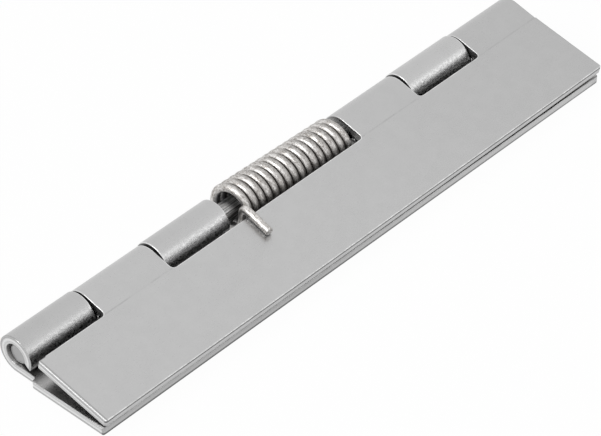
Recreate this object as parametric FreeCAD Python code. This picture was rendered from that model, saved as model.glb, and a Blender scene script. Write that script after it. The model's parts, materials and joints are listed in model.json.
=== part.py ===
import FreeCAD, Part
import math
import os

# Spring loaded weld-on hinge, closed: two alike sheet leaves with rolled knuckles on one pin,
# and a torsion spring round the pin that presses the leaves together.
# Millimetres. The pieces are drawn about the middle of the pin's axis: X runs along the pin, the
# leaves reach towards -Y, and the lower leaf lies level below the axis. They are then moved
# together so that the part's origin is the middle of the lower leaf's outer face.

# Leaves
leaf_length = 120.0
leaf_width = 20.0  # pin axis to free edge
sheet = 1.5
eye_proud = 0.2  # how far a knuckle stands out of its leaf's outer face
leaf_offset = 0.9  # along the pin, from the lower leaf to the upper one
knuckle_gap = 0.3  # along the pin, between neighbouring knuckles
end_step = 0.55  # the outermost knuckle's end lies this far inside the leaf's end
notch_radius = 0.8  # corners of the notches, in plan
root_clearance = 0.37  # from what turns on the pin to the notches' bottoms
tip_gap = 0.2  # rolled end of the sheet to the leaf's inner face
tip_slant = 12.0  # degrees that the rolled end's outer corner is ahead of its inner one
edge_gap = 0.2  # between the two free edges when closed

# Pin
pin_diameter = 4.0
pin_clearance = 0.05  # radial, in the knuckles
pin_recess = 0.4  # the pin's ends lie this far inside the outermost knuckles' ends
pin_chamfer = 0.3

# Torsion spring
wire_diameter = 1.5
coil_turns = 16
turn_gap = 0.125  # between neighbouring turns
coil_clearance = 0.78  # radial, round the pin
coil_tilt = 2.3  # degrees that the legs tip the coil, about the middle of the wedge
room_at_start = 1.85  # from the coil's start to the knuckle beside it
room_at_end = 0.65  # from the coil's other end to the knuckle beside it
leg_length = 6.8  # from the bend's corner to the cut end
leg_splay = 5.0  # degrees that a leg turns outwards from the coil
leg_bend = 1.2  # radius at the wire's centre
leg_clearance = 0.05  # from a leg to the leaf that it presses on
wire_sides = 8  # the wire's section has flats, which keeps the many turns light
turn_steps = 18  # sections in one turn of the coil
bend_steps = 6  # sections in a leg's bend

# Sizes that follow
pin_radius = pin_diameter / 2
eye_inner = pin_radius + pin_clearance
eye_outer = eye_inner + sheet
outer_face = eye_outer - eye_proud  # pin axis to a leaf's outer face
inner_face = outer_face - sheet
coil_radius = pin_radius + coil_clearance + wire_diameter / 2
coil_pitch = wire_diameter + turn_gap
coil_span = coil_turns * coil_pitch
spring_space = room_at_start + coil_span + wire_diameter + room_at_end
leaf_start = -(leaf_length + leaf_offset) / 2  # the lower leaf's near end
leaf_end = leaf_start + leaf_length
knuckle_pitch = (leaf_length - spring_space) / 6
root_line = max(eye_outer, coil_radius + wire_diameter / 2) + root_clearance
pin_half = (leaf_length + leaf_offset) / 2 - end_step - pin_recess

# A knuckle's root leans out of the leaf by this angle, to reach the larger circle of the eye
root_lean = math.asin(eye_outer / math.hypot(root_line, outer_face)) - math.atan2(outer_face, root_line)

# Half of the wedge between the closed leaves, whose free edges all but meet
edge_reach = math.hypot(leaf_width, inner_face)
half_wedge = math.atan2(inner_face, leaf_width) - math.asin(edge_gap / 2 / edge_reach)
wedge_middle = FreeCAD.Vector(0, -math.cos(half_wedge), -math.sin(half_wedge))

# The wire's section has the round wire's area: from its centre to a corner, and to a flat
corner_share = math.sqrt(2 * math.pi / (wire_sides * math.sin(2 * math.pi / wire_sides)))
wire_corner = wire_diameter / 2 * corner_share
wire_flat = wire_corner * math.cos(math.pi / wire_sides)

pin_middle = FreeCAD.Vector(0, 0, 0)
along_pin = FreeCAD.Vector(1, 0, 0)
towards_back = FreeCAD.Vector(0, 1, 0)


def on_circle(radius, angle):
    """A point round the pin's axis, at an angle that starts straight down and turns towards +Y."""
    return FreeCAD.Vector(0, radius * math.sin(angle), -radius * math.cos(angle))


def circle_arc(radius, start, end):
    """The arc round the pin's axis from one angle to another."""
    points = [on_circle(radius, angle) for angle in (start, (start + end) / 2, end)]
    return Part.Arc(*points).toShape()


def rolled_sheet():
    """The lower leaf's section along its whole length, with the knuckle's roll not yet notched."""
    outer_tip = 1.5 * math.pi + math.asin((eye_inner - tip_gap) / eye_outer) - root_lean
    inner_tip = outer_tip - math.radians(tip_slant)
    crease = sheet * math.tan(root_lean / 2)
    outer_line = [
        FreeCAD.Vector(0, -leaf_width, -outer_face),
        FreeCAD.Vector(0, -root_line, -outer_face),
        on_circle(eye_outer, -root_lean),
    ]
    inner_line = [
        on_circle(eye_inner, -root_lean),
        FreeCAD.Vector(0, -root_line + crease, -inner_face),
        FreeCAD.Vector(0, -leaf_width, -inner_face),
        outer_line[0],
    ]
    edges = Part.makePolygon(outer_line).Edges
    edges.append(circle_arc(eye_outer, -root_lean, outer_tip))
    edges.append(Part.makeLine(on_circle(eye_outer, outer_tip), on_circle(eye_inner, inner_tip)))
    edges.append(circle_arc(eye_inner, inner_tip, -root_lean))
    edges += Part.makePolygon(inner_line).Edges
    section = Part.Face(Part.Wire(edges))
    section.translate(along_pin * leaf_start)
    return section.extrude(along_pin * leaf_length)


def notch(start, end):
    """What is cut away between knuckles, from the root line outwards, with rounded corners."""
    radius = min(notch_radius, (end - start) / 2.5, 0.9 * (root_line - eye_outer))
    reach = root_line + eye_outer
    block = Part.makeBox(end - start, 2 * reach, 2 * reach, FreeCAD.Vector(start, -root_line, -reach))
    corners = [e for e in block.Edges if e.BoundBox.YMax < -root_line / 2 and e.BoundBox.ZLength > reach]
    return block.makeFillet(radius, corners)


def leaf():
    """One leaf, as the lower one lies: knuckles first, third and fifth along the pin."""
    inner_side, middle_side, outer_side = [spring_space / 2 + i * knuckle_pitch for i in range(3)]
    half_gap = knuckle_gap / 2
    cuts = [
        (leaf_start - knuckle_pitch, leaf_start + end_step),
        (-outer_side - half_gap, -middle_side + half_gap),
        (-inner_side, middle_side + half_gap),
        (outer_side - half_gap, leaf_end + knuckle_pitch),
    ]
    return rolled_sheet().cut([notch(*cut) for cut in cuts]).removeSplitter()


def upper_leaf():
    """The same leaf, turned end for end about the middle of the wedge."""
    turned = leaf()
    turned.rotate(pin_middle, wedge_middle, 180)
    return turned


def hinge_pin():
    start = FreeCAD.Vector(-pin_half, 0, 0)
    rod = Part.makeCylinder(pin_radius, 2 * pin_half, start, along_pin)
    rims = [e for e in rod.Edges if isinstance(e.Curve, Part.Circle)]
    return rod.makeChamfer(pin_chamfer, rims)


def coil_stations():
    """Places along the coil, each a point, the wire's direction and the side away from the pin."""
    lead = coil_pitch / (2 * math.pi)
    tip = FreeCAD.Rotation(towards_back, coil_tilt)
    stations = []
    for step in range(coil_turns * turn_steps + 1):
        angle = 2 * math.pi * step / turn_steps
        outward = FreeCAD.Vector(0, -math.cos(angle), -math.sin(angle))
        onward = FreeCAD.Vector(lead, coil_radius * math.sin(angle), -coil_radius * math.cos(angle))
        point = outward * coil_radius + along_pin * (lead * angle - coil_span / 2)
        stations.append([tip.multVec(v) for v in (point, onward.normalize(), outward)])
    return stations


def leg_stations(coil_start):
    """Places along the leg at the coil's start, from the cut end down into the coil.

    The leg lies on the upper leaf's outer face, and its third entry is the side towards that face.
    """
    start, onward, _ = coil_start
    back = onward * -1
    off_leaf = FreeCAD.Vector(0, -math.sin(half_wedge), math.cos(half_wedge))
    along_leaf = FreeCAD.Rotation(off_leaf, -leg_splay).multVec(wedge_middle)
    height = outer_face + leg_clearance + wire_flat
    corner = start + back * ((height - start.dot(off_leaf)) / back.dot(off_leaf))
    turn = back.getAngle(along_leaf)
    tangent_length = leg_bend * math.tan(turn / 2)
    inward = (along_leaf - back * math.cos(turn)) * (1 / math.sin(turn))
    centre = corner - back * tangent_length + inward * leg_bend
    stations = [(corner + along_leaf * leg_length, along_leaf * -1, off_leaf * -1)]
    for step in range(bend_steps, -1, -1):
        angle = turn * step / bend_steps
        side = inward * math.cos(angle) - back * math.sin(angle)
        heading = back * math.cos(angle) + inward * math.sin(angle)
        stations.append((centre - side * leg_bend, heading * -1, side))
    return stations


def turned_over(station):
    """The matching place at the coil's other end, half a turn about the middle of the wedge."""
    half_turn = FreeCAD.Rotation(towards_back, 180)
    point, onward, side = [half_turn.multVec(v) for v in station]
    return point, onward * -1, side


def wire_section(point, onward, side):
    across = onward.cross(side)
    corners = []
    for i in range(wire_sides):
        angle = 2 * math.pi * (i + 0.5) / wire_sides
        corners.append(point + side * (wire_corner * math.cos(angle)) + across * (wire_corner * math.sin(angle)))
    return Part.makePolygon(corners + corners[:1])


def torsion_spring():
    """A right-hand coil with a leg on each leaf, lofted through sections along the wire."""
    coil = coil_stations()
    leg = leg_stations(coil[0])
    other_leg = [turned_over(station) for station in reversed(leg)]
    spring = Part.makeLoft([wire_section(*s) for s in leg + coil + other_leg], True, True)
    spring.rotate(pin_middle, along_pin, math.degrees(half_wedge))
    spring.translate(along_pin * ((room_at_start - room_at_end) / 2))
    return spring


pieces = {
    "lower_leaf": leaf(),
    "upper_leaf": upper_leaf(),
    "hinge_pin": hinge_pin(),
    "torsion_spring": torsion_spring(),
}
face_middle = FreeCAD.Vector(-leaf_offset / 2, -(root_line + leaf_width) / 2, -outer_face)
os.makedirs("parts", exist_ok=True)
for name, piece in pieces.items():
    piece.translate(face_middle * -1)
    piece.exportStep("parts/%s.step" % name)
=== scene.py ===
import json
import math
import bmesh
import bpy
from mathutils import Matrix, Vector
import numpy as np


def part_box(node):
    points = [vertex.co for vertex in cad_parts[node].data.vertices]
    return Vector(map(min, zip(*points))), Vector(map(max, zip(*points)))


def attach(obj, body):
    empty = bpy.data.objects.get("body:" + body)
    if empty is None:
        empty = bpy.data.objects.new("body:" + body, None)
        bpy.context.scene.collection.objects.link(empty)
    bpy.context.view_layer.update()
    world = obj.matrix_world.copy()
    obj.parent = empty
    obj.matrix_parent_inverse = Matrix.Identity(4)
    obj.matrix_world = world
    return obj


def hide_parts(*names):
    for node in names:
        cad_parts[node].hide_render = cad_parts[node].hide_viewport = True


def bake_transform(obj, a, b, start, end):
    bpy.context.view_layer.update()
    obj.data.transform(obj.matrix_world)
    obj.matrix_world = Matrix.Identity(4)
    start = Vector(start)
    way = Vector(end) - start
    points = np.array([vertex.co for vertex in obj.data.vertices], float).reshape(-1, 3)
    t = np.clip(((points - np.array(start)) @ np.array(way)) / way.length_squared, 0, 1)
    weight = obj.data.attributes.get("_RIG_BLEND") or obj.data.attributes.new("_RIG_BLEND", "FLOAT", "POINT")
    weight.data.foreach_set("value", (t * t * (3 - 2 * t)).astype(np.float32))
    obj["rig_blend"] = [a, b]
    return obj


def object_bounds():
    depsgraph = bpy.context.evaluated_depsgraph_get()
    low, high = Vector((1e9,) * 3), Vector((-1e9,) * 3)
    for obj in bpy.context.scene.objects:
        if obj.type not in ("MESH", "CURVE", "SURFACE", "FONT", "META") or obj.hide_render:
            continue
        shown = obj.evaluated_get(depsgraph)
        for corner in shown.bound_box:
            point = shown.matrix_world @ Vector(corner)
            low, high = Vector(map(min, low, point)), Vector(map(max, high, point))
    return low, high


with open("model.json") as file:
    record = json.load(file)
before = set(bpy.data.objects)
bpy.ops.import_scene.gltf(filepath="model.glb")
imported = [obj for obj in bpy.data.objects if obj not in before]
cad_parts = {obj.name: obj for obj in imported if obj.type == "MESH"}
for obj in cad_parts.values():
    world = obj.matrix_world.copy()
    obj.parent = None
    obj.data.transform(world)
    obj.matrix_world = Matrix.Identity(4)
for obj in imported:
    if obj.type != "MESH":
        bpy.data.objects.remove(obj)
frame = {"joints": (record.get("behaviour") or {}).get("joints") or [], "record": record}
cad_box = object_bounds()

# Spring loaded weld-on hinge, closed, as photographed on white. Metres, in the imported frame: X runs
# along the pin, the leaves reach towards -Y, and the lower leaf's outer face lies at z 0.
# Each piece is first laid out as its flat or straight stock, and its material follows that stock.
mm = 0.001

# Sizes that the frame gives
pin_middle = Vector(frame["joints"][0]["pos_m"])
leaf_low, leaf_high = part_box("lower_leaf")
pin_low, pin_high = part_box("hinge_pin")
leaf_length = leaf_high.x - leaf_low.x
leaf_width = pin_middle.y - leaf_low.y  # pin axis to free edge
outer_face = pin_middle.z  # pin axis to a leaf's outer face
eye_outer = leaf_high.z - pin_middle.z
pin_radius = (pin_high.z - pin_low.z) / 2
leaf_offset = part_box("upper_leaf")[0].x - leaf_low.x
upper_face = next(m for m in frame["record"]["mounts"] if m["name"] == "upper_weld_face")
half_wedge = math.atan2(-upper_face["axis"][1], upper_face["axis"][2]) / 2

# Leaves
sheet = 1.5 * mm
knuckle_count = 6  # on both leaves together
knuckle_gap = 0.42 * mm
start_trim = 0.06 * mm  # a leaf's second and third knuckles are sheared this much shorter at their starts
spring_notch = 0.16 * mm  # the notch that takes the spring is this much deeper
end_reach = 0.45 * mm  # the end without a knuckle is sheared this much longer
draw_length = 0.5 * mm  # there the shear has drawn the outer face down
draw_depth = 0.2 * mm

# How each leaf departs from the stamping. At the end with a knuckle: the root corner (along the pin and
# towards it), the free corner (along the pin) and the knuckle's end, from the leaf's end. Then the
# further ends of its first and last knuckles along the pin, the free edge's start, middle and end
# towards the inside, and the eyes, which the spring pulls.
lower_shape = {
    "root_corner": (-0.3 * mm, 0.3 * mm),
    "edge_corner": 0,
    "end_step": 0.55 * mm,
    "tab_ends": (-0.5 * mm, 0.12 * mm),
    "bends": (0.06 * mm, 0, -0.25 * mm),
    "eyes": Vector((0, 0.16, 0.1)) * mm,
}
upper_shape = {
    "root_corner": (0.15 * mm, 0),
    "edge_corner": 0.15 * mm,
    "end_step": 0.3 * mm,
    "tab_ends": (0, 0.5 * mm),
    "bends": (-0.2 * mm, 0.03 * mm, 0.1 * mm),
    "eyes": Vector(),
}
notch_radius = 0.8 * mm
root_line = 4.65 * mm  # pin axis to the notches' bottoms
tip_gap = 0.2 * mm  # rolled end of the sheet to the leaf's inner face
tip_slant = math.radians(12)
tip_round = 0.55 * mm  # length over which the rolled end is rounded
tip_left = 0.5  # share of the sheet's thickness at its very end
crease_width = 0.4 * mm  # beside the root line, where the knuckles begin to lean
edge_curve = 1.5  # power by which a bend grows towards the free edge
corner_radius = 0.4 * mm  # outer corners of the blank, in plan
least_radius = 0.01 * mm
corner_share = 0.45  # of a short side, that one corner's rounding may take
edge_round = 0.11 * mm  # rounding of the sheared edges
rim_width = 0.11 * mm  # strip along them that takes the rims' colour, mostly a painted highlight in patches
roll_steps = 60
length_steps = 10
tip_stations = (0.8, 0.6, 0.4, 0.25, 0.12)  # shares of the rounding where the mesh has edges
draw_stations = (1, 0.75, 0.5, 0.35)  # and of the length that is drawn down
cut_tolerance = 0.0001 * mm

# Pin
pin_chamfer = 0.3 * mm
pin_crown = 0.03 * mm
pin_play = 0.12 * mm  # it is a little thin for the bores
pin_rest = Vector((0, 0.02, 0.05)) * mm  # and lies between the two leaves' eyes
pin_sides = 64
pin_steps = 6

# Torsion spring
wire_diameter = 1.5 * mm
wire_round = 0.15 * mm  # rims of its cut ends
coil_turns = 16
turn_gap = 0.125 * mm
coil_clearance = 0.78 * mm
room_at_start = 1.85 * mm
room_at_end = 0.65 * mm
leg_length = 6.65 * mm
leg_bend = 1.2 * mm
leg_clearance = 0.05 * mm
leg_splay = math.radians(5)
coil_tilt = math.radians(2.3)  # about the middle of the wedge, as the legs push its ends apart
wire_sides = 16
turn_steps = 40
bend_steps = 10
leg_steps = 4

# Sizes that follow
eye_inner = eye_outer - sheet
wire_radius = wire_diameter / 2
coil_radius = pin_radius + coil_clearance + wire_radius
coil_pitch = wire_diameter + turn_gap
coil_span = coil_turns * coil_pitch
spring_space = room_at_start + coil_span + wire_diameter + room_at_end
knuckle_pitch = (leaf_length - spring_space) / knuckle_count
leaf_start = -(leaf_length + leaf_offset) / 2  # the lower leaf's near end, from the pin's middle
plain_end = leaf_start + leaf_length + end_reach
coil_shift = (room_at_start - room_at_end) / 2
root_lean = math.asin(eye_outer / math.hypot(root_line, outer_face)) - math.atan2(outer_face, root_line)

# The blank, measured from its free edge
to_root = leaf_width - root_line
to_roll = to_root + math.sqrt(root_line ** 2 + outer_face ** 2 - eye_outer ** 2)
roll_sweep = 1.5 * math.pi + math.asin((eye_inner - tip_gap) / eye_outer)
roll_radius = eye_outer - sheet / 2
to_tip = to_roll + roll_sweep * roll_radius


class Field:
    """A node's output that changes over a surface, with the arithmetic that the finishes use."""

    def __init__(self, finish, socket):
        self.finish = finish
        self.socket = socket

    def worked(self, operation, *values):
        sockets = dict(enumerate(values))
        return self.finish.node("ShaderNodeMath", {"operation": operation}, sockets)

    def __add__(self, other):
        return self.worked("ADD", self, other)

    def __sub__(self, other):
        return self.worked("SUBTRACT", self, other)

    def __rsub__(self, other):
        return self.worked("SUBTRACT", other, self)

    def __mul__(self, other):
        return self.worked("MULTIPLY", self, other)

    def __abs__(self):
        return self.worked("ABSOLUTE", self)

    __radd__ = __add__
    __rmul__ = __mul__


class Finish:
    """A material or world and the nodes that give it its look."""

    def __init__(self, owner):
        owner.use_nodes = True
        self.owner = owner
        self.tree = owner.node_tree
        self.tree.nodes.clear()

    def node(self, kind, settings=None, sockets=None, output=0):
        """Adds a node, its settings first, then the values or links of its sockets."""
        made = self.tree.nodes.new(kind)
        for name, value in (settings or {}).items():
            if name == "stops":
                self.set_stops(made.color_ramp, value)
            else:
                setattr(made, name, value)
        for name, value in (sockets or {}).items():
            shown = [s for s in made.inputs if s.enabled]
            socket = shown[name] if isinstance(name, int) else next(s for s in shown if s.name == name)
            if isinstance(value, Field):
                self.tree.links.new(value.socket, socket)
            else:
                socket.default_value = value
        outputs = [s for s in made.outputs if s.enabled]
        return Field(self, outputs[output]) if outputs else None

    def set_stops(self, ramp, stops):
        for i, (place, level) in enumerate(stops):
            stop = ramp.elements[i] if i < 2 else ramp.elements.new(place)
            stop.position = place
            stop.color = (level, level, level, 1)

    def stock(self, name):
        """The place on the piece's flat or straight stock, in millimetres."""
        return self.node("ShaderNodeAttribute", {"attribute_name": name}, output=1)

    def split(self, place):
        """A place's three parts."""
        return [self.node("ShaderNodeSeparateXYZ", {}, {0: place}, output=i) for i in range(3)]

    def stretched(self, place, x, y, z):
        return self.node("ShaderNodeVectorMath", {"operation": "MULTIPLY"}, {0: place, 1: (x, y, z)})

    def noise(self, place, scale, detail=3.0, roughness=0.5):
        sockets = {"Vector": place, "Scale": scale, "Detail": detail, "Roughness": roughness}
        return self.node("ShaderNodeTexNoise", {}, sockets)

    def ramp(self, value, *stops):
        return self.node("ShaderNodeValToRGB", {"stops": stops}, {"Fac": value})

    def mixed(self, share, first, second):
        sockets = {"Factor": share, "A": first, "B": second}
        return self.node("ShaderNodeMix", {"data_type": "RGBA"}, sockets)

    def surface(self, shader):
        self.node("ShaderNodeOutputMaterial", {}, {"Surface": shader})
        return self.owner


def grey(level, warmth=0.0):
    return (level * (1 + warmth), level, level * (1 - warmth), 1)


def metal(finish, colour, bareness, roughness, height, depth):
    """A bare metal with fine relief, whose depth is in metres."""
    relief = finish.node("ShaderNodeBump", {}, {"Strength": 1.0, "Distance": depth, "Height": height})
    sockets = {"Base Color": colour, "Metallic": bareness, "Roughness": roughness, "Normal": relief}
    return finish.surface(finish.node("ShaderNodeBsdfPrincipled", {}, sockets))


def sheet_steel(name, front_rim, front_wall, far_light):
    """Cold rolled sheet: nearly even satin grey, with a painted highlight in patches on the rims of its edges.

    The free edge's rim and wall have tones given per leaf, painted shade on the lower leaf and a painted
    highlight on the upper leaf's rim, and its wall may lighten to the far end. Painted shade also darkens the
    walls between knuckles, the crease at their root, the inner faces and the outer face towards the blank's
    start, and painted light lifts the curl's end.
    """
    finish = Finish(bpy.data.materials.new(name))
    place = finish.stock("blank")
    length, along, depth = finish.split(place)
    near_edge = finish.node("ShaderNodeAttribute", {"attribute_name": "near_edge"}, output=2)
    # Places on the blank, brought into the ramps' range of 0 to 1
    through = depth * (mm / sheet)
    at_length = length * 0.008 + 0.5
    at_root = (along - to_root / mm) * 0.1 + 0.5
    at_spring = (length + spring_space / 2 / mm) * 0.1 + 0.5
    at_end = (length - plain_end / mm) * 0.5 + 1
    # Where the look changes
    wall = finish.ramp(through, (0.06, 0), (0.085, 1), (0.915, 1), (0.94, 0))
    inside = finish.ramp(through, (0.99, 0), (1.0, 1))
    slit = finish.ramp(along * 0.1, (0.036, 1), (0.04, 0))
    past_root = finish.ramp(at_root, (0.47, 0), (0.49, 1))
    past_end = finish.ramp((length - leaf_start / mm) * 0.01, (0.012, 0), (0.016, 1))
    off_spring = finish.ramp(at_spring, (0.4, 1), (0.45, 0), (0.55, 0), (0.6, 1))
    in_gap = past_root * past_end * off_spring
    crease = finish.ramp(at_root, (0.485, 0), (0.5, 1), (0.525, 0))
    cloud = finish.noise(place, 0.09, 2)
    smudge = finish.noise(place, 0.4, 5, 0.62)
    grain = finish.noise(finish.stretched(place, 0.7, 1, 1), 3.0, 4, 0.6)
    speck = finish.noise(place, 7.0, 3, 0.6)
    # Painted shade: the outer face darkens towards the blank's start, the upper leaf's far end, a falloff of the
    # light along the leaf
    painted_falloff = finish.ramp(1 - at_length, (0.45, 0), (1, 1))
    curl_end = finish.ramp((to_tip / mm - along) * 0.1, (0.3, 1), (0.55, 0))
    patches = finish.ramp(smudge, (0.4, 0), (0.62, 1))
    shade = (cloud - 0.5) * 0.2 + (patches - 0.5) * 0.1 + (grain - 0.5) * 0.25 + (speck - 0.5) * 0.25
    # Painted shade along the crease where the knuckles begin to lean, in patches
    bend = crease * finish.ramp(smudge, (0.42, 0.15), (0.58, 1))
    outer = finish.mixed(shade - bend * 0.8 - painted_falloff * 0.35 + 0.65, grey(0.43), grey(0.56))
    # Painted light: the outer face is lightened near the curl's end, on the knuckles' lower sides
    curl_painted_light = finish.mixed(curl_end * 0.22, outer, grey(0.72))
    # Painted shade: the inner faces, in the wedge and the bores, are a little darker than the outer face
    face = finish.mixed(inside * 0.75, curl_painted_light, grey(0.46, 0.01))
    burnish = finish.ramp(through, (0.12, 0.3), (0.2, 0), (0.45, 1), (0.75, 0.4), (0.88, 0.7))
    sheared = finish.mixed(burnish + (speck - 0.5) * 0.9, grey(0.38), grey(0.8))
    # Painted shade: the walls in the gaps between knuckles, away from the spring, are nearly black with specks
    gap_painted_shade = finish.mixed(speck, grey(0.06), grey(0.34))
    slitting = finish.ramp(through, (0.12, 0), (0.22, 0.1), (0.4, 1), (0.9, 0.8))
    far = finish.ramp(at_length, (0.4, 0), (1, far_light))
    # The free edge's wall takes a tone given per leaf, darker on the lower leaf: painted shade
    bared = finish.mixed(far, grey(front_wall), grey(0.72))
    duller = finish.mixed(slitting + far + (speck - 0.5) * 0.6, grey(0.1), bared)
    edge = finish.mixed(in_gap, finish.mixed(slit, sheared, duller), gap_painted_shade)
    # Painted highlight on the rims: in these random patches the rim strips turn bright grey, a darker grey near
    # the blank's start and near black at its plain end
    wear_and_sheen = finish.ramp(smudge * 0.6 + speck * 0.4, (0.42, 0.1), (0.58, 0.9))
    by_start = finish.ramp(at_length, (0.0268, 1), (0.0272, 0))
    by_end = finish.ramp(at_length, (0.9656, 0), (0.966, 1))
    bright = finish.mixed(by_start, grey(0.92), grey(0.32))
    patchy = finish.mixed(wear_and_sheen, grey(0.02), grey(0.13))
    # The free edge's rim takes a tone given per leaf: painted shade on the lower leaf, a painted highlight on
    # the upper leaf
    rim = finish.mixed(slit, finish.mixed(by_end, bright, patchy), grey(front_rim))
    # The rim strips take the rim colour, for the most part a painted highlight, in patches
    broken = finish.mixed(near_edge * (wear_and_sheen + by_end), face, rim)
    drawn_down = finish.ramp(at_end, (0.74, 0), (0.8, 0.7), (0.93, 0.7), (0.98, 0.1))
    lined = finish.mixed(drawn_down * (1 - inside), broken, grey(0.3))
    colour = finish.mixed(wall, lined, edge)
    scuff = finish.ramp(grain * 0.6 + speck * 0.4, (0.46, 0), (0.6, 1)) * curl_end
    roughness = (grain - 0.5) * 0.16 + (cloud - 0.5) * 0.06 + wall * 0.1 + scuff * 0.16 - curl_end * 0.03
    roughness = roughness + near_edge * by_end * 0.2 + 0.3
    height = grain * 0.7 + speck * 0.6 + wall * speck + scuff * 0.6
    bore = inside * finish.ramp((along - to_roll / mm) * 0.1 + 0.5, (0.5, 0), (0.6, 1))
    return metal(finish, colour, 1 - bore * 0.35, roughness, height, 0.013 * mm)


def drawn_rod():
    """The pin: drawn rod with lines along its length and a plainly sheared end."""
    finish = Finish(bpy.data.materials.new("drawn_rod"))
    place = finish.stock("rod")
    length = finish.node("ShaderNodeSeparateXYZ", {}, {0: place}, output=0)
    half = (pin_high.x - pin_low.x) / 2 / mm
    at_end = finish.ramp(length * (0.5 / half) + 0.5, (0.0025, 1), (0.0035, 0), (0.9965, 0), (0.9975, 1))
    lines = finish.noise(finish.stretched(place, 0.02, 1, 1), 6.5, 4, 0.7)
    speck = finish.noise(place, 6.0, 3)
    side = finish.mixed(finish.ramp(lines, (0.4, 0), (0.58, 1)), grey(0.08), grey(0.64))
    colour = finish.mixed(at_end, side, finish.mixed(speck, grey(0.32), grey(0.46)))
    roughness = (speck - 0.5) * 0.2 + 0.34
    return metal(finish, colour, 1.0, roughness, lines + speck * 0.3, 0.02 * mm)


def spring_wire():
    """Drawn spring wire: a little warm, mottled by the drawing die, with painted shade between the turns, on
    their right sides, on the coil's side towards the pin and on the legs' undersides and left sides.
    """
    finish = Finish(bpy.data.materials.new("spring_wire"))
    place = finish.stock("wire")
    travelled, outwards, across = finish.split(place)
    # Places on the wire, brought into the ramps' range of 0 to 1
    half_wide = 0.5 * mm / wire_radius
    at_travelled = travelled * 0.0025
    to_left = across * half_wide + 0.5
    mottle = finish.noise(finish.stretched(place, 0.45, 1, 1), 2.6, 5, 0.75)
    pits = finish.noise(finish.stretched(place, 0.6, 1, 1), 6.0, 3, 0.6)
    dirt = finish.ramp(mottle * 0.6 + pits * 0.4, (0.4, 0), (0.58, 1))
    in_coil = finish.ramp(at_travelled, (0.019, 0), (0.0215, 1), (0.905, 1), (0.9085, 0))
    turned_away = outwards * (1 - in_coil * 2) * half_wide + 0.5
    # Painted shade on the coil's side towards the pin and on the legs' undersides
    pin_and_leaf_side_shade = finish.ramp(turned_away, (0.74, 0), (0.9, 1))
    # Painted shade in the narrow gaps between the coil's turns, on the wire's sides that face the next turn
    to_next_turn = abs(across) * (mm / wire_radius)
    between_turns = finish.ramp(at_travelled, (0.07, 0), (0.076, 1), (0.85, 1), (0.856, 0))
    turn_gap_shade = finish.ramp(to_next_turn, (0.89, 0), (0.99, 0.85)) * between_turns
    # Painted shade: each turn of the coil darkens towards its right side, away from the lamp on the left
    right_side_shade = finish.ramp(1 - to_left, (0.28, 0), (0.8, 0.75)) * in_coil
    mottled = finish.mixed(dirt, grey(0.24, 0.08), grey(0.76, 0.02))
    drawn = finish.mixed(right_side_shade, mottled, grey(0.15, 0.08))
    # Painted shade on the legs' left sides
    leg_side = finish.ramp(to_left, (0.9, 0), (0.97, 0.7)) * (1 - in_coil)
    shaded = finish.mixed(leg_side, finish.mixed(pin_and_leaf_side_shade, drawn, grey(0.34)), grey(0.1, 0.05))
    colour = finish.mixed(turn_gap_shade, shaded, grey(0.06, 0.05))
    roughness = (0.5 - mottle) * 0.3 + 0.38
    return metal(finish, colour, 1.0, roughness, mottle + pits * 0.8, 0.028 * mm)


def piece_from(bm, name, material, body, node):
    """Turns a mesh into a shown piece that stands for a CAD node."""
    bmesh.ops.recalc_face_normals(bm, faces=bm.faces)
    mesh = bpy.data.meshes.new(name)
    bm.to_mesh(mesh)
    bm.free()
    mesh.shade_smooth()
    mesh.materials.append(material)
    piece = bpy.data.objects.new(name, mesh)
    bpy.context.scene.collection.objects.link(piece)
    normals = piece.modifiers.new("even_faces", "WEIGHTED_NORMAL")
    normals.weight = 100
    if body:
        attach(piece, body)
    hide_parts(node)
    return piece


def rounded_corner(corner, back, on, radius, steps=6):
    """Points of an arc that rounds a square corner between two directions."""
    centre = corner + (back + on) * radius
    turns = [math.pi / 2 * i / steps for i in range(steps + 1)]
    return [centre - (on * math.cos(turn) + back * math.sin(turn)) * radius for turn in turns]


def blank_plan(shape, inset):
    """The flat blank's outline drawn in by an inset: x along the pin, y from the free edge."""
    inner_side, middle_side, outer_side = [spring_space / 2 + i * knuckle_pitch for i in range(3)]
    half_gap = knuckle_gap / 2
    near_root = to_root + shape["root_corner"][1]
    spring_root = to_root - spring_notch
    first_end = -outer_side - half_gap + shape["tab_ends"][0]
    last_end = outer_side - half_gap + shape["tab_ends"][1]
    tabs = [
        (leaf_start + shape["end_step"], near_root, first_end, to_root),
        (-middle_side + half_gap + start_trim, to_root, -inner_side, spring_root),
        (middle_side + half_gap + start_trim, spring_root, last_end, to_root),
    ]
    corners = [
        (leaf_start + shape["root_corner"][0], near_root, corner_radius),
        (leaf_start + shape["edge_corner"], 0, corner_radius),
        (plain_end, 0, corner_radius),
        (plain_end, to_root, corner_radius),
    ]
    for start, start_root, end, end_root in reversed(tabs):
        corners += [
            (end, end_root, notch_radius),
            (end, to_tip, corner_radius),
            (start, to_tip, corner_radius),
            (start, start_root, notch_radius),
        ]
    points = [Vector((x, y, 0)) for x, y, _ in corners]
    outline = []
    for i, (_, _, radius) in enumerate(corners):
        back = points[i - 1] - points[i]
        on = points[(i + 1) % len(points)] - points[i]
        room = corner_share * min(back.length, on.length)
        back.normalize()
        on.normalize()
        outwards = 1 if back.cross(on).z < 0 else -1
        drawn_in = points[i] + (back + on) * (inset * outwards)
        bend = max(min(radius, room) - inset * outwards, least_radius)
        outline += rounded_corner(drawn_in, back, on, bend)
    return outline


def tip_thickness(along):
    """Share of the sheet's thickness that is left where the curl's end is rounded."""
    into_round = max(0.0, 1 - (to_tip - along) / tip_round)
    return math.sqrt(1 - (1 - tip_left ** 2) * into_round ** 2)


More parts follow.
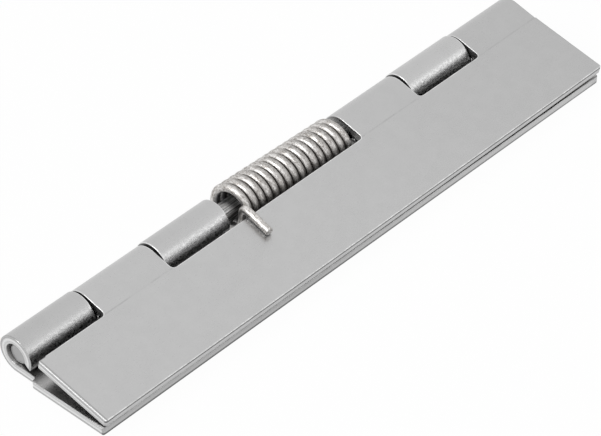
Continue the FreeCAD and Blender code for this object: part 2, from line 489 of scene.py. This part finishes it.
def rolled(along, depth):
    """Where a point of the blank comes to lie about the pin: y and z from the pin's axis."""
    if along <= to_root:
        return along - leaf_width, depth - outer_face
    if along <= to_roll:
        past = along - to_root
        y = past * math.cos(root_lean) + depth * math.sin(root_lean) - root_line
        z = depth * math.cos(root_lean) - past * math.sin(root_lean) - outer_face
        return y, z
    depth = sheet / 2 + (depth - sheet / 2) * tip_thickness(along)
    share = (along - to_roll) / (to_tip - to_roll)
    angle = share * (roll_sweep - tip_slant * depth / sheet) - root_lean
    radius = eye_outer - depth
    return radius * math.sin(angle), -radius * math.cos(angle)


def edge_loops():
    """Insets and depths from a face's rim strip over the rounded edge, and how near the edge is."""
    loops = [(edge_round + rim_width, 0, 0)]
    for turn in (0, 30, 60, 90):
        share = math.radians(turn)
        loops.append((edge_round * (1 - math.sin(share)), edge_round * (1 - math.cos(share)), 1))
    return loops + [(inset, sheet - depth, near) for inset, depth, near in reversed(loops)]


def through_three(levels, share):
    """A smooth curve through the levels at the start, the middle and the end."""
    start, middle, end = levels
    from_ends = start * (1 - share) * (1 - 2 * share) + end * share * (2 * share - 1)
    return from_ends + middle * 4 * share * (1 - share)


def cut_across(bm, axis, stops):
    """Adds edges to the blank at stops along an axis, so that it can bend there."""
    for stop in stops:
        everything = bm.verts[:] + bm.edges[:] + bm.faces[:]
        bmesh.ops.bisect_plane(bm, geom=everything, dist=cut_tolerance, plane_co=axis * stop, plane_no=axis)


def rolled_leaf(shape):
    """One leaf about the pin's middle, as the lower one lies: cut, its edges broken, then rolled."""
    bm = bmesh.new()
    near_edge = bm.verts.layers.float.new("near_edge")
    rings = []
    for inset, depth, near in edge_loops():
        ring = [bm.verts.new(p + Vector((0, 0, depth))) for p in blank_plan(shape, inset)]
        for v in ring:
            v[near_edge] = near
        rings.append(ring)
    for one, two in zip(rings, rings[1:]):
        for i in range(len(one)):
            bm.faces.new((one[i - 1], one[i], two[i], two[i - 1]))
    bm.faces.new(rings[0])
    bm.faces.new(rings[-1])
    stops = [to_root, to_root + crease_width]
    stops += [to_roll + (to_tip - to_roll) * i / roll_steps for i in range(roll_steps)]
    stops += [to_tip - tip_round * share for share in tip_stations]
    cut_across(bm, Vector((0, 1, 0)), stops)
    stops = [leaf_start + leaf_length * i / length_steps for i in range(1, length_steps)]
    stops += [plain_end - draw_length * share for share in draw_stations]
    cut_across(bm, Vector((1, 0, 0)), stops)
    blank = bm.verts.layers.float_vector.new("blank")
    for v in bm.verts:
        v[blank] = v.co / mm
        to_edge = max(0.0, 1 - v.co.y / to_root)
        share = (v.co.x - leaf_start) / leaf_length
        bent_in = through_three(shape["bends"], share) * to_edge ** edge_curve
        drawn = max(0.0, 1 - (plain_end - v.co.x) / draw_length)
        v.co.z += draw_depth * drawn ** 2 * (1 - v.co.z / sheet)
        past_root = (v.co.y - to_root) / (to_roll - to_root)
        v.co.yz = rolled(v.co.y, v.co.z)
        v.co.z += bent_in
        v.co += shape["eyes"] * min(max(past_root, 0), 1)
    return bm


def leaf(name, turned, shape, material):
    """A leaf in its place. The upper one is the same stamping turned end for end."""
    bm = rolled_leaf(shape)
    if turned:
        wedge_middle = Vector((0, -math.cos(half_wedge), -math.sin(half_wedge)))
        bm.transform(Matrix.Rotation(math.pi, 4, wedge_middle))
    bm.transform(Matrix.Translation(pin_middle))
    bmesh.ops.recalc_face_normals(bm, faces=bm.faces)
    bm.normal_update()
    # Rims that face the far end take no rim colour, so no painted highlight, as the lamp on the left doesn't
    # light them; the one beside the spring's start keeps it
    near_edge = bm.verts.layers.float["near_edge"]
    spring_side = pin_middle.x - spring_space / 2
    for v in bm.verts:
        if abs(v.co.x - spring_side) > edge_round + rim_width:
            v[near_edge] *= 1 - max(0.0, v.normal.x)
    return piece_from(bm, name + "_sheet", material, name, name)


def turned_rod(profile, sides):
    """A rod about X from its profile of x and radius, with the place on the stock."""
    bm = bmesh.new()
    stock = bm.verts.layers.float_vector.new("rod")
    rings = []
    for x, radius in profile:
        ring = []
        for i in range(sides if radius else 1):
            angle = 2 * math.pi * i / sides
            v = bm.verts.new((x, radius * math.cos(angle), radius * math.sin(angle)))
            v[stock] = v.co / mm
            ring.append(v)
        rings.append(ring)
    for one, two in zip(rings, rings[1:]):
        for i in range(sides):
            places = [(one, i - 1), (one, i), (two, i), (two, i - 1)]
            corners = [ring[place % len(ring)] for ring, place in places]
            bm.faces.new(dict.fromkeys(corners))
    return bm


def hinge_pin(material):
    """The pin, with broken corners on its chamfers and slightly crowned ends."""
    half = (pin_high.x - pin_low.x) / 2
    radius = pin_radius - pin_play
    flat = radius - pin_chamfer
    soft = 0.25 * pin_chamfer
    end = [
        (half, 0),
        (half - pin_crown / 3, 0.6 * flat),
        (half - pin_crown, flat - soft),
        (half - pin_crown - 0.3 * soft, flat),
        (half - soft, flat + 0.7 * soft),
        (half - pin_chamfer + soft, radius - 0.7 * soft),
        (half - pin_chamfer, radius - 0.2 * soft),
        (half - pin_chamfer - soft, radius),
    ]
    stations = [half * i / pin_steps for i in range(pin_steps - 1, -pin_steps, -1)]
    profile = end + [(x, radius) for x in stations] + [(-x, r) for x, r in reversed(end)]
    bm = turned_rod(profile, pin_sides)
    bm.transform(Matrix.Translation(pin_middle + pin_rest))
    return piece_from(bm, "pin_rod", material, "lower_leaf", "hinge_pin")


def coil_stations():
    """Places along the coil, each a point, the wire's direction and the side away from the pin."""
    lead = coil_pitch / (2 * math.pi)
    stations = []
    for step in range(coil_turns * turn_steps + 1):
        angle = 2 * math.pi * step / turn_steps
        outward = Vector((0, -math.cos(angle), -math.sin(angle)))
        onward = Vector((lead, coil_radius * math.sin(angle), -coil_radius * math.cos(angle)))
        point = outward * coil_radius + Vector((lead * angle - coil_span / 2, 0, 0))
        station = (point, onward.normalized(), outward)
        stations.append([Matrix.Rotation(coil_tilt, 3, "Y") @ v for v in station])
    return stations


def leg_stations(coil_start):
    """Places along the leg at the coil's start, from its cut end down into the coil."""
    start, onward, _ = coil_start
    back = -onward
    along_leaf = Vector((
        -math.sin(leg_splay),
        -math.cos(leg_splay) * math.cos(half_wedge),
        -math.cos(leg_splay) * math.sin(half_wedge),
    ))
    off_leaf = Vector((0, -math.sin(half_wedge), math.cos(half_wedge)))
    height = outer_face + leg_clearance + wire_radius
    corner = start + back * ((height - start.dot(off_leaf)) / back.dot(off_leaf))
    turn = back.angle(along_leaf)
    tangent_length = leg_bend * math.tan(turn / 2)
    inward = (along_leaf - back * math.cos(turn)) / math.sin(turn)
    centre = corner - back * tangent_length + inward * leg_bend
    straight = leg_length - tangent_length
    bend_end = corner + along_leaf * tangent_length
    stations = []
    for step in range(leg_steps, 0, -1):
        point = bend_end + along_leaf * (straight * step / leg_steps)
        stations.append((point, -along_leaf, -off_leaf))
    for step in range(bend_steps, 0, -1):
        angle = turn * step / bend_steps
        side = inward * math.cos(angle) - back * math.sin(angle)
        heading = back * math.cos(angle) + inward * math.sin(angle)
        stations.append((centre - side * leg_bend, -heading, side))
    return stations


def turned_over(station):
    """The matching place at the coil's other end, half a turn about the middle of the wedge."""
    point, onward, side = [Matrix.Rotation(math.pi, 3, "Y") @ v for v in station]
    return point, -onward, side


def torsion_spring(material):
    """Round wire swept along both legs and the coil. Its ends turn with the leaves."""
    coil = coil_stations()
    leg = leg_stations(coil[0])
    stations = leg + coil + [turned_over(station) for station in reversed(leg)]
    bm = bmesh.new()
    stock = bm.verts.layers.float_vector.new("wire")
    rings = []
    travelled = 0.0
    previous = stations[0][0]
    for point, onward, side in stations:
        travelled += (point - previous).length
        previous = point
        across = onward.cross(side)
        ring = []
        for i in range(wire_sides):
            angle = 2 * math.pi * i / wire_sides
            off = Vector((wire_radius * math.cos(angle), wire_radius * math.sin(angle)))
            v = bm.verts.new(point + side * off.x + across * off.y)
            v[stock] = Vector((travelled, off.x, off.y)) / mm
            ring.append(v)
        rings.append(ring)
    for one, two in zip(rings, rings[1:]):
        for i in range(wire_sides):
            bm.faces.new((one[i - 1], one[i], two[i], two[i - 1]))
    ends = [bm.faces.new(rings[0]), bm.faces.new(rings[-1])]
    rims = [e for face in ends for e in face.edges]
    bmesh.ops.bevel(bm, geom=rims, offset=wire_round, segments=2, profile=0.5, affect="EDGES")
    bm.transform(Matrix.Rotation(half_wedge, 4, "X"))
    coil_middle = pin_middle + Vector((coil_shift, 0, 0))
    bm.transform(Matrix.Translation(coil_middle))
    piece = piece_from(bm, "spring_coil", material, None, "torsion_spring")
    coil_half = Vector((coil_span / 2 - wire_diameter, 0, 0))
    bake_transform(piece, "lower_leaf", "upper_leaf", start=coil_middle + coil_half, end=coil_middle - coil_half)
    return piece


# The photographer's view, from the middle of the pin at the level of the lower leaf
view_azimuth = math.radians(-47.82)
view_elevation = math.radians(41.71)
view_roll = math.radians(1.28)
view_distance = 553.9 * mm
aim_right = 3.75 * mm
aim_up = -4.47 * mm
image_width = 601  # pixels
focal_length = 3309.6  # pixels
nearest_seen = 10 * mm

# The studio
floor_gap = 0.05 * mm  # below the hinge
floor_reach = 3.0
floor_white = 0.97  # share of plain white in the floor's look, which leaves a faint shadow
plain_light = 0.55  # of the white all round, against its full strength where it is seen
card_grey = 0.17
square = ((-1, -1), (1, -1), (1, 1), (-1, 1))  # a flat piece's corners, in turn


def view_axes():
    """Right, up and backwards of the camera."""
    back = Vector((
        math.sin(view_azimuth) * math.cos(view_elevation),
        -math.cos(view_azimuth) * math.cos(view_elevation),
        math.sin(view_elevation),
    ))
    level = Vector((math.cos(view_azimuth), math.sin(view_azimuth), 0))
    rise = back.cross(level)
    right = level * math.cos(view_roll) + rise * math.sin(view_roll)
    return right, back.cross(right), back


def camera():
    right, up, back = view_axes()
    aim = Vector((pin_middle.x, pin_middle.y, 0)) + right * aim_right + up * aim_up
    data = bpy.data.cameras.new("camera")
    data.lens = data.sensor_width * focal_length / image_width
    data.clip_start = nearest_seen
    made = bpy.data.objects.new("camera", data)
    bpy.context.scene.collection.objects.link(made)
    turn = Matrix((right, up, back)).transposed().to_4x4()
    made.matrix_world = Matrix.Translation(aim + back * view_distance) @ turn
    bpy.context.scene.camera = made


def seen(finish):
    """1 for what the camera sees directly, in metal or through glass, 0 for plain lighting."""
    ray_kinds = (0, 3, 6)  # camera, glossy and transmission
    direct, mirrored, in_glass = [finish.node("ShaderNodeLightPath", {}, {}, output=i) for i in ray_kinds]
    return finish.node("ShaderNodeClamp", {}, {0: direct + mirrored + in_glass})


def studio_white():
    """White all round, and plain soft light from it."""
    world = bpy.data.worlds.new("studio_white")
    bpy.context.scene.world = world
    finish = Finish(world)
    strength = seen(finish) * (1 - plain_light) + plain_light
    white = finish.node("ShaderNodeBackground", {}, {"Color": grey(1), "Strength": strength})
    finish.node("ShaderNodeOutputWorld", {}, {"Surface": white})


def flat_piece(name, corners, material):
    """A four-cornered sheet for the studio."""
    bm = bmesh.new()
    bm.faces.new([bm.verts.new(corner) for corner in corners])
    mesh = bpy.data.meshes.new(name)
    bm.to_mesh(mesh)
    bm.free()
    mesh.materials.append(material)
    made = bpy.data.objects.new(name, mesh)
    bpy.context.scene.collection.objects.link(made)
    return made


def floor():
    """A pale floor that keeps a faint shadow."""
    finish = Finish(bpy.data.materials.new("pale_floor"))
    matt = finish.node("ShaderNodeBsdfDiffuse", {}, {"Color": grey(0.9)})
    glow = finish.node("ShaderNodeEmission", {}, {"Color": grey(1), "Strength": 1.0})
    share = seen(finish) * floor_white
    material = finish.surface(finish.node("ShaderNodeMixShader", {}, {0: share, 1: matt, 2: glow}))
    level = cad_box[0].z - floor_gap
    made = flat_piece("floor", [(x * floor_reach, y * floor_reach, level) for x, y in square], material)


def dark_card(place, width, height):
    """A dark card in front, out of the picture, that the knuckles' lower sides mirror."""
    finish = Finish(bpy.data.materials.new("dark_card"))
    material = finish.surface(finish.node("ShaderNodeBsdfDiffuse", {}, {"Color": grey(card_grey)}))
    across = Vector((-place[1], place[0], 0)).normalized() * (width / 2)
    up = Vector((0, 0, height / 2))
    corners = [across * i + up * j + Vector(place) for i, j in square]
    made = flat_piece("dark_card", corners, material)
    made.visible_camera = False


def softbox(name, place, size, watts):
    """A square soft lamp that faces the hinge."""
    data = bpy.data.lights.new(name, "AREA")
    data.size = size
    data.energy = watts
    made = bpy.data.objects.new(name, data)
    bpy.context.scene.collection.objects.link(made)
    made.location = place
    made.rotation_euler = (-Vector(place)).to_track_quat("-Z", "Y").to_euler()


# The two leaves are lit and shaded copies of one sheet steel: the lower leaf's free edge rim and wall are
# darker, painted shade, and the upper leaf's rim is a painted highlight
lower_steel = sheet_steel("lower_sheet", front_rim=0.3, front_wall=0.46, far_light=0.35)
upper_steel = sheet_steel("upper_sheet", front_rim=0.8, front_wall=0.56, far_light=0)
leaf("lower_leaf", turned=False, shape=lower_shape, material=lower_steel)
leaf("upper_leaf", turned=True, shape=upper_shape, material=upper_steel)
hinge_pin(drawn_rod())
torsion_spring(spring_wire())
floor()
studio_white()
dark_card(place=(0.5, -0.75, 0.1), width=0.6, height=0.3)
softbox("right_lamp", place=(0.55, -0.65, 0.42), size=0.4, watts=0.42)
softbox("left_lamp", place=(-0.6, 0.15, 0.6), size=0.4, watts=3.3)
camera()

bpy.context.scene.view_settings.view_transform = "Standard"
